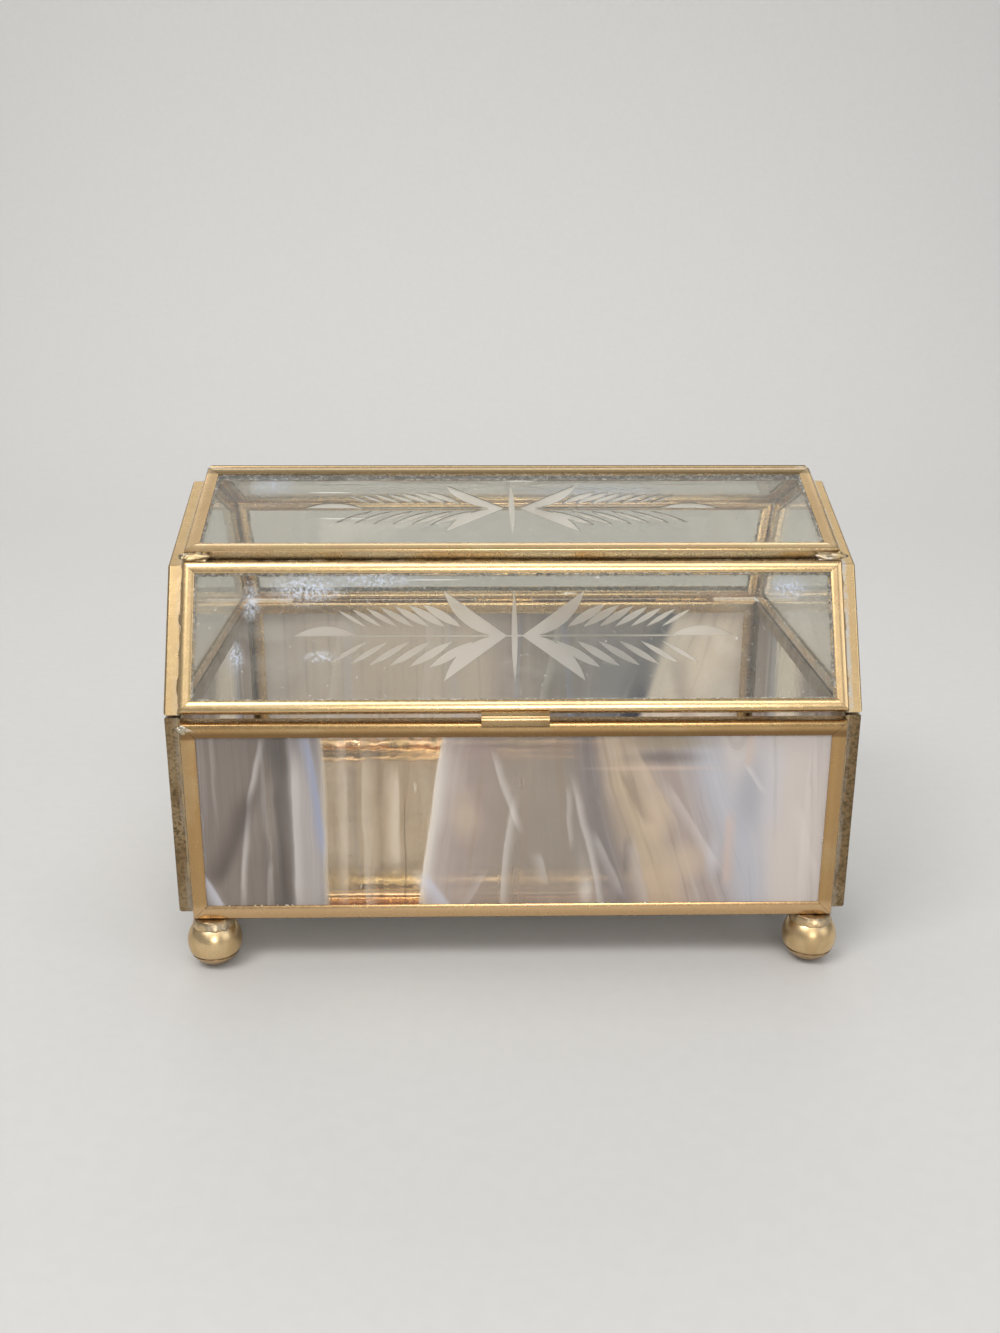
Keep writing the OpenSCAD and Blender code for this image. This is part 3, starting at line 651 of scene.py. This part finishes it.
def slag_draw_lines(s, slag, where, v, tone, clear):
    """Fine draw lines and soft billows: white, pink and grey in opal parts, amber and brown in clear."""
    flow = s.add("ShaderNodeCombineXYZ")
    s.put(flow.inputs[0], where)
    s.put(flow.inputs[2], s.math("MULTIPLY", v, 0.0022))
    flow = s.vector("ADD", flow.outputs[0], slag.shift).outputs[0]
    lines = s.noise(70, 4, 0.6, 0.1, s.vector("MULTIPLY", flow, (1, 1, 0.1)).outputs[0])
    billow = s.noise(9, 3, 0.5, 0.4, flow)
    opal = s.step(clear, 0.9, 0.3)
    tone = s.mix(s.times(s.step(lines, 0.52, 0.72, 0.0, 0.30), opal), tone, WHITE)
    tone = s.mix(s.step(lines, 0.48, 0.30, 0.0, 0.30), tone, s.mix(opal, (0.70, 0.52, 0.32), DARK))
    tone = s.mix(s.step(billow, 0.50, 0.72, 0.0, 0.45), tone, s.mix(opal, AMBER, PINK))
    return s.mix(s.step(billow, 0.45, 0.28, 0.0, 0.30), tone, s.mix(opal, (0.44, 0.34, 0.22), GREY))


def slag_spots(s, slag, x, v, tone, clear):
    """Lays the pane's soft oval spots over its tone, and makes it less clear there."""
    for x0, v0, radii, colour, strength in slag.spots:
        dx = s.math("DIVIDE", s.math("SUBTRACT", x, x0), radii[0])
        dv = s.math("DIVIDE", s.math("SUBTRACT", v, v0), radii[1])
        off = s.math("SQRT", s.math("MULTIPLY_ADD", dx, dx, s.times(dv, dv)))
        mask = s.step(off, 1.0, 0.1, 0.0, strength)
        tone = s.mix(mask, tone, colour)
        clear = s.times(clear, s.math("MULTIPLY_ADD", mask, -0.7, 1.0))
    return tone, clear


def slag_veils(s, slag, x, v, tone, clear):
    """Lays the pane's folded veils over its tone. All but the dark ones make it less clear there."""
    for foot, lean, bend, left, right, colour, strength, low, high in slag.veils:
        middle = s.math("MULTIPLY_ADD", s.math("MULTIPLY_ADD", v, bend, lean), v, foot)
        off = s.math("SUBTRACT", x, middle)
        mask = s.math("MINIMUM", s.step(off, -left, 0.0), s.step(off, right, 0.0, 0.0, 1.0))
        from_middle = s.math("ABSOLUTE", s.math("SUBTRACT", v, (low + high) / 2))
        mask = s.times(mask, s.step(from_middle, (high - low) / 2, (high - low) / 4, 0.0, strength))
        tone = s.mix(mask, tone, colour)
        if colour != DARK:
            clear = s.times(clear, s.math("MULTIPLY_ADD", mask, -0.8, 1.0))
    return tone, clear


def slag_glass(name, slag):
    """Opal streaks drawn out in clear amber glass, with ripples that bend what shows through."""
    s = Shade(name)
    x, v = slag_place(s, slag)
    where, tone, clear = slag_zones(s, slag, x, v)
    tone = slag_draw_lines(s, slag, where, v, tone, clear)
    tone, clear = slag_spots(s, slag, x, v, tone, clear)
    tone, clear = slag_veils(s, slag, x, v, tone, clear)
    ripple = s.noise(480, 2, 0.5, 0.2, s.stretched((1, 1, 0.22), slag.shift))
    normal = s.bump(s.noise(70, 2, 0.5, 0.5, s.stretched((1, 1, 0.3))), 0.10, 0.5 * MM)
    normal = s.bump(ripple, 0.22, 0.10 * MM, normal)
    normal = s.bump(s.noise(420, 1, 0.5), 0.16, 0.10 * MM, normal)
    s.set(Base_Color=tone, Roughness=s.step(clear, 0.9, 0.3, 0.01, 0.05))
    s.set(IOR=1.5, Transmission_Weight=clear, Normal=normal)
    glow = s.add("ShaderNodeBsdfTranslucent")
    s.put(glow.inputs["Color"], tone)
    body = s.add("ShaderNodeMixShader")
    s.put(body.inputs[0], s.step(clear, 0.0, 1.0, slag.glow, 0.0))
    s.put(body.inputs[1], s.bsdf.outputs[0])
    s.put(body.inputs[2], glow.outputs[0])
    s.let_light_in(body.outputs[0])
    return s.mat


def mirror(name):
    """Clear glass silvered on its underside, with dark spots and smears in the silver."""
    s = Shade(name)
    spots = s.step(s.noise(500, 3, 0.6), 0.62, 0.72, 0.0, 0.5)
    smear = s.step(s.noise(40, 3, 0.6, 1.0), 0.4, 0.7)
    silver = s.mix(spots, s.mix(smear, (0.86, 0.85, 0.82), (0.76, 0.73, 0.67)), (0.40, 0.36, 0.30))
    under = s.math("LESS_THAN", s.axis(2), FOOT_H + 0.9 * MM)
    s.set(Base_Color=s.mix(under, (0.93, 0.94, 0.91), silver), Metallic=under, IOR=1.5)
    s.set(Roughness=s.math("MULTIPLY_ADD", smear, 0.05, 0.01))
    s.set(Transmission_Weight=s.math("SUBTRACT", 1.0, under))
    return s.mat


# Materials on the CAD nodes
brassy_tin = solder("brassy_solder", TIN)
dull_tin = solder("dull_solder", (0.33, 0.28, 0.21))
bright_copper = solder("coppery_solder", (0.86, 0.62, 0.42))
# The front base frame carries the base's painted highlights and painted shade
base_brass = brass("aged_brass_base", BASE_WALL, OLD_GOLD, OLD_COPPER, share=0.7, painted_light_strength=0.9)
# Brighter brass on the back frame seen through the lid: painted light
base_back_brass = brass(
    "aged_brass_base_back_painted_light",
    BASE_WALL.mirrored(),
    metal=(0.84, 0.63, 0.36),
    other=GOLD,
    share=0.5,
)
base_end_brass = brass(
    "aged_brass_base_ends",
    metal=(0.25, 0.17, 0.09),
    other=BROWN,
    roughness=0.30,
    dull=0.9,
    tinned=(0.25, 0.30),
)
# The lid's and roof's frames carry painted shade in the shoulder seam, and the roof's also at the ridge
lid_brass = brass("aged_brass_lid", LID_WALL)
# Brighter, pinker brass on the back frame seen through the lid: painted light and a painted warm
# reflection of the amber glass
lid_back_brass = brass(
    "aged_brass_lid_back_painted_light",
    LID_WALL.mirrored(),
    metal=(0.88, 0.65, 0.40),
    other=(0.80, 0.60, 0.33),
    share=0.5,
)
roof_brass = brass("aged_brass_roof", ROOF, SOFT_GOLD, COPPER)
roof_back_brass = brass("aged_brass_roof_back", ROOF.mirrored(), SOFT_GOLD, COPPER)
lid_end_brass = brass("aged_brass_lid_ends", metal=(0.62, 0.45, 0.23), share=0.15, tinned=(0.15, 0.95))
floor_brass = brass("coppery_brass", share=1.0)
tab_brass = brass("lift_tab_brass", metal=OLD_GOLD, other=WORN, share=0.4)
ball_metal = foot_metal("foot_brass")
hinge_brass = brass("hinge_brass", metal=(0.56, 0.45, 0.28), other=WORN)
end_glass = clear_glass("clear_glass")
wall_back_glass = clear_glass("clear_glass_back_wall", LID_WALL.mirrored(), cut=False)
wall_glass = clear_glass(
    "clear_glass_cut_wall",
    LID_WALL,
    smears=[
        ((-45, 27), (12, 9, 5), 0.55),
        ((-30, 29), (16, 9, 2.6), 0.45),
        ((-57, 24), (3, 9, 6), 0.5),
        ((-42, 12), (5, 6, 1.6), 0.6),
        ((60, 27), (8, 9, 4), 0.4),
        ((-60, 12), (3, 6, 5), 0.4),
    ],
    scratches=[((-18, 29), 9), ((12, 26), 2)],
)
roof_glass = clear_glass(
    "clear_glass_cut_roof",
    ROOF,
    smears=[((-56, 27), (8, 9, 4), 0.25), ((20, 22), (26, 12, 5), 0.16)],
    scratches=[((-38, 13), 8), ((-42, 24), 7), ((2, 29), 5)],
)
roof_back_glass = clear_glass("clear_glass_cut_back_roof", ROOF.mirrored())
slag_front = slag_glass("slag_glass_front", FRONT)
slag_back = slag_glass("slag_glass_back", BACK)
slag_end = slag_glass("slag_glass_ends", END)

WEAR = {
    "base_front_glass": slag_front,
    "base_back_glass": slag_back,
    "base_left_glass": slag_end,
    "base_right_glass": slag_end,
    "floor_mirror": mirror("old_mirror"),
    "base_front_frame": base_brass,
    "base_back_frame": base_back_brass,
    "base_left_frame": base_end_brass,
    "base_right_frame": base_end_brass,
    "floor_frame": floor_brass,
    "base_corner_solder": dull_tin,
    "foot_solder": ball_metal,
    "base_hinge_knuckles": hinge_brass,
    "hinge_wire": floor_brass,
    "lid_front_glass": wall_glass,
    "lid_back_glass": wall_back_glass,
    "roof_front_glass": roof_glass,
    "roof_back_glass": roof_back_glass,
    "lid_left_glass": end_glass,
    "lid_right_glass": end_glass,
    "lid_front_frame": lid_brass,
    "lid_back_frame": lid_back_brass,
    "roof_front_frame": roof_brass,
    "roof_back_frame": roof_back_brass,
    "lid_left_frame": lid_end_brass,
    "lid_right_frame": lid_end_brass,
    "lid_corner_solder": brassy_tin,
    "shoulder_and_ridge_solder": brassy_tin,
    "lift_tab": tab_brass,
    "lid_hinge_knuckles": hinge_brass,
}
for corner in ("front_left", "front_right", "back_left", "back_right"):
    WEAR[corner + "_foot"] = ball_metal
for name, material in WEAR.items():
    for slot in NODES[name].material_slots:
        slot.material = material


# Lumpy solder
def make_lumpy(node, voxel, size, strength):
    """Gives a solder node an even mesh and runs of lumps of the given size and height."""
    even = NODES[node].modifiers.new("even_mesh", "REMESH")
    even.mode = "VOXEL"
    even.voxel_size = voxel
    even.use_smooth_shade = True
    texture = bpy.data.textures.new(node + "_lumps", "CLOUDS")
    texture.noise_scale = size
    lumps = NODES[node].modifiers.new("lumps", "DISPLACE")
    lumps.texture = texture
    lumps.texture_coords = "LOCAL"
    lumps.strength = strength


# Sizes of the lumps in millimetres
LUMP_SIZES = {
    "lid_corner_solder": 2.6,
    "base_corner_solder": 2.6,
    "shoulder_and_ridge_solder": 3.2,
    "foot_solder": 2.2,
}
for node, size in LUMP_SIZES.items():
    make_lumpy(node, voxel=0.25 * MM, size=size * MM, strength=0.5 * MM)


class Lumps:
    """Many small lumps in one piece."""

    def __init__(self, name, body, material, slot):
        self.name = name
        self.body = body
        self.material = material
        self.slot = slot
        self.mesh = bmesh.new()
        self.pick = random.Random(name)

    def add(self, middle, radii, outward=Vector((0, 0, 1)), wobble=0.25, subdivisions=3):
        """A lump with the given radii, the first one along the box and the last one along outward."""
        side = (Vector((1, 0, 0)) - outward * outward.x).normalized()
        turn = Matrix((side, outward.cross(side), outward)).transposed()
        seed = Vector((self.pick.uniform(0, 90), 0, 0))
        made = bmesh.ops.create_icosphere(self.mesh, subdivisions=subdivisions, radius=1.0)
        for vert in made["verts"]:
            coarse = noise.noise(vert.co * 1.3 + seed)
            swell = 1 + wobble * coarse + wobble / 2 * noise.noise(vert.co * 3 + seed)
            local = Vector(c * r * swell for c, r in zip(vert.co, radii))
            vert.co = middle + turn @ local

    def finish(self):
        """Makes the piece, and lets it ride on its body."""
        data = bpy.data.meshes.new(self.name)
        self.mesh.to_mesh(data)
        self.mesh.free()
        for face in data.polygons:
            face.use_smooth = True
        data.materials.append(self.material)
        obj = bpy.data.objects.new(self.name, data)
        bpy.context.scene.collection.objects.link(obj)
        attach(obj, self.body)


def along_x(x):
    """A step of x metres along the box."""
    return Vector((x, 0, 0))


def crumbs(lumps, pane, count):
    """Crumbs of flux and solder on the glass, along the lips round a pane's window."""
    half = PANEL_HALF - pane.lip
    low = pane.lip
    high = pane.length - pane.lip
    for _ in range(count):
        on_a_side = lumps.pick.random() < 0.25
        x = lumps.pick.uniform(-half, half)
        v = lumps.pick.choice((low, high))
        if on_a_side:
            x = lumps.pick.choice((-half, half))
            v = lumps.pick.uniform(low, high)
        size = lumps.pick.uniform(0.10, 0.28) * MM
        place = pane.foot + along_x(x) + pane.up * v + pane.out * (GLASS_FACE + 0.05 * MM)
        lumps.add(place, (size * 1.6, size, size * 0.8), pane.out, wobble=0.3, subdivisions=1)


# Blobs on the lid: at the ends of both shoulder seams and of the ridge
joint_out = (WALL_OUT + ROOF_OUT).normalized()
lid_lumps = Lumps("lid_solder_lumps", "lid", brassy_tin, "solder")
for back in (1, -1):
    flip = Matrix.Diagonal((1, back, 1))
    for end in (-1, 1):
        place = SHOULDER + joint_out * 3.3 * MM + along_x(end * (PANEL_HALF - 2.4 * MM))
        tip = place + along_x(end * 2.2 * MM)
        outward = flip @ joint_out
        lid_lumps.add(flip @ place, (2.4 * MM, 0.9 * MM, 0.5 * MM), outward, wobble=0.8)
        lid_lumps.add(flip @ tip, (0.9 * MM, 0.8 * MM, 0.6 * MM), outward, wobble=0.9)
for end in (-1, 1):
    top = RIDGE + Vector((end * (PANEL_HALF - 1.8 * MM), 0, 3.0 * MM))
    lid_lumps.add(top, (1.9 * MM, 0.9 * MM, 0.35 * MM), wobble=0.5)
crumbs(lid_lumps, LID_WALL, count=34)
crumbs(lid_lumps, ROOF, count=16)
lid_lumps.finish()


class Run(Lumps):
    """Wavy runs of solder in inside corners, in one piece."""

    def lay(self, start, end, across, width, height, steps=160, slices=6):
        """A run from start to end, bulging out by width across and by height upwards."""
        up = Vector((0, 0, 1))
        seed = Vector((self.pick.uniform(0, 90), 0, 0))
        rings = []
        for i in range(steps + 1):
            place = start.lerp(end, i / steps)
            long_wave = 0.30 * noise.noise(seed + place / (3 * MM))
            wave = 1 + long_wave + 0.18 * noise.noise(seed + place / (0.9 * MM))
            ring = [self.mesh.verts.new(place)]
            for j in range(slices + 1):
                a = math.pi / 2 * j / slices
                bulge = across * (width * wave * math.cos(a)) + up * (height * wave * math.sin(a))
                ring.append(self.mesh.verts.new(place + bulge))
            rings.append(ring)
        for one, two in zip(rings, rings[1:]):
            for j in range(len(one)):
                k = (j + 1) % len(one)
                self.mesh.faces.new((one[j], one[k], two[k], two[j]))
        self.mesh.faces.new(rings[0][::-1])
        self.mesh.faces.new(rings[-1])
        bmesh.ops.recalc_face_normals(self.mesh, faces=self.mesh.faces)


# Solder round the mirror floor, low at the front
floor_top = FOOT_H + CAME_T
inner_y = BOX_HALF_Y - CAME_T
floor_run = Run("floor_seam_solder", "base", bright_copper, "solder")
for sign in (-1, 1):
    long_corner = Vector((0, sign * inner_y, floor_top))
    short_corner = Vector((sign * PANEL_HALF, 0, floor_top))
    reach_x = along_x(PANEL_HALF - 2 * MM)
    reach_y = Vector((0, inner_y - 3 * MM, 0))
    rise = 2.2 * MM if sign > 0 else 0.7 * MM
    inward_y = Vector((0, -sign, 0))
    inward_x = Vector((-sign, 0, 0))
    floor_run.lay(
        long_corner - reach_x,
        long_corner + reach_x,
        across=inward_y,
        width=1.9 * MM,
        height=rise,
    )
    floor_run.lay(
        short_corner - reach_y,
        short_corner + reach_y,
        across=inward_x,
        width=1.7 * MM,
        height=1.9 * MM,
    )
floor_run.finish()

# Solder run over each ball foot: lean along x and y, lift, and width in millimetres
foot_lumps = Lumps("foot_solder_lumps", "base", ball_metal, "solder")
for back in (1, -1):
    flip = Matrix.Diagonal((1, back, 1))
    for end in (-1, 1):
        ball = Vector((end * FOOT_PLACE.x, -FOOT_PLACE.y, FOOT_PLACE.z))
        blobs = [(-0.35 * end, -0.42, 0.84, 1.8), (0.45 * end, -0.25, 0.86, 1.3), (0.1, 0.4, 0.9, 1.8)]
        for lean_x, lean_y, lift, wide in blobs:
            ray = Vector((lean_x, lean_y, lift)).normalized()
            place = flip @ (ball + ray * (FOOT_R - 0.25 * MM))
            foot_lumps.add(place, (wide * MM, wide * MM, 0.55 * MM), flip @ ray, wobble=0.35)

# Smear of solder over the front left mitre of the base's rim
base_lumps = Lumps("base_solder_lumps", "base", brassy_tin, "solder")
mitre = Vector((-PANEL_HALF + 0.6 * MM, -BOX_HALF_Y + 0.10 * MM, RIM_Z - 1.5 * MM))
base_lumps.add(mitre, (0.9 * MM, 0.9 * MM, 0.20 * MM), FRONT_OUT, wobble=0.8)
base_lumps.add(mitre + along_x(1.3 * MM), (1.1 * MM, 0.45 * MM, 0.18 * MM), FRONT_OUT, wobble=0.8)
crumbs(base_lumps, BASE_WALL, count=40)
base_lumps.finish()
foot_lumps.finish()


# Stage
def paper(name, colour):
    """Matt paper with a faint grain."""
    s = Shade(name)
    grain = s.noise(260, 3)
    s.set(Base_Color=s.mix(s.step(grain, 0.3, 0.7, 0.0, 0.25), colour, tuple(0.93 * c for c in colour)))
    s.set(Roughness=0.62, Normal=s.bump(grain, 0.05, 0.2 * MM))
    return s.mat


def sweep():
    """Pale floor that curves up into a wall behind the box."""
    near = -6.0
    far = 0.9
    radius = 0.45
    top = 1.5
    half = 6.0
    line = [(near, 0.0), (far - radius, 0.0)]
    for i in range(1, 17):
        a = math.pi / 2 * i / 16
        line.append((far - radius + radius * math.sin(a), radius - radius * math.cos(a)))
    line.append((far, top))
    verts = [(x, y, z) for x in (-half, half) for y, z in line]
    n = len(line)
    faces = [(i, i + 1, n + i + 1, n + i) for i in range(n - 1)]
    mesh = bpy.data.meshes.new("pale_sweep")
    mesh.from_pydata(verts, [], faces)
    for face in mesh.polygons:
        face.use_smooth = True
    obj = bpy.data.objects.new("pale_sweep", mesh)
    bpy.context.scene.collection.objects.link(obj)
    mesh.materials.append(paper("pale_paper", (0.60, 0.595, 0.585)))


def area_light(name, place, target, width, height, power, colour):
    """A soft rectangular lamp at place that points at target, in metres and watts."""
    data = bpy.data.lights.new(name, "AREA")
    data.shape = "RECTANGLE"
    data.size = width
    data.size_y = height
    data.energy = power
    data.color = colour
    obj = bpy.data.objects.new(name, data)
    obj.location = place
    obj.rotation_euler = (Vector(target) - Vector(place)).to_track_quat("-Z", "Y").to_euler()
    bpy.context.scene.collection.objects.link(obj)


sweep()
world = bpy.data.worlds.new("soft_room")
bpy.context.scene.world = world
world.use_nodes = True
background = world.node_tree.nodes["Background"]
background.inputs["Color"].default_value = (0.94, 0.96, 1.0, 1)
background.inputs["Strength"].default_value = 0.34
area_light(
    "key",
    place=(-0.5, -0.55, 0.95),
    target=(0, 0, 0.05),
    width=0.5,
    height=0.5,
    power=4.0,
    colour=(1.0, 0.97, 0.93),
)
area_light(
    "top",
    place=(0.0, 0.55, 1.25),
    target=(0, 0, 0.05),
    width=1.8,
    height=1.1,
    power=3.6,
    colour=(1.0, 0.99, 0.97),
)
area_light(
    "back",
    place=(0.0, 0.84, 0.64),
    target=(0, 0, 0.03),
    width=1.2,
    height=0.4,
    power=3.4,
    colour=(1.0, 0.98, 0.94),
)
area_light(
    "strip",
    place=(-0.15, -0.62, 1.08),
    target=(0, 0, 0.05),
    width=1.3,
    height=0.3,
    power=5.0,
    colour=(1.0, 0.98, 0.95),
)
area_light(
    "panel",
    place=(-0.1, -1.15, 0.82),
    target=(0, 0, 0.05),
    width=1.5,
    height=0.55,
    power=1.6,
    colour=(1.0, 0.98, 0.96),
)
area_light(
    "low",
    place=(0.1, -1.15, 0.42),
    target=(0, 0, 0.03),
    width=0.3,
    height=0.25,
    power=2.6,
    colour=(1.0, 0.96, 0.90),
)
area_light(
    "fill",
    place=(0.8, -0.5, 0.5),
    target=(0, 0, 0.05),
    width=0.5,
    height=0.7,
    power=1.6,
    colour=(0.95, 0.97, 1.0),
)

# Camera, with FOCAL and LONG_SIDE in pixels of the photo and SENSOR in millimetres
FOCAL = 1314.1
LONG_SIDE = 1333.0
SENSOR = 36.0
PITCH = math.radians(17.975)
YAW = math.radians(1.276)
ROLL = math.radians(0.177)
camera_data = bpy.data.cameras.new("camera")
camera_data.sensor_width = SENSOR
camera_data.lens = SENSOR * FOCAL / LONG_SIDE
camera_data.clip_start = 0.01
camera = bpy.data.objects.new("camera", camera_data)
camera.location = (-9.2 * MM, -315.2 * MM, 157.2 * MM)
ahead = Vector((math.sin(YAW) * math.cos(PITCH), math.cos(YAW) * math.cos(PITCH), -math.sin(PITCH)))
right = Vector((math.cos(YAW), -math.sin(YAW), 0))
above = right.cross(ahead)
rolled_right = right * math.cos(ROLL) + above * math.sin(ROLL)
rolled_up = above * math.cos(ROLL) - right * math.sin(ROLL)
turn = camera.rotation_euler.to_matrix()
turn.col[0], turn.col[1], turn.col[2] = rolled_right, rolled_up, -ahead
camera.rotation_euler = turn.to_euler()
bpy.context.scene.collection.objects.link(camera)
scene = bpy.context.scene
scene.camera = camera
scene.view_settings.view_transform = "Standard"
scene.cycles.max_bounces = 24
scene.cycles.transmission_bounces = 20
scene.cycles.transparent_max_bounces = 16
scene.cycles.glossy_bounces = 8
scene.cycles.sample_clamp_indirect = 6.0
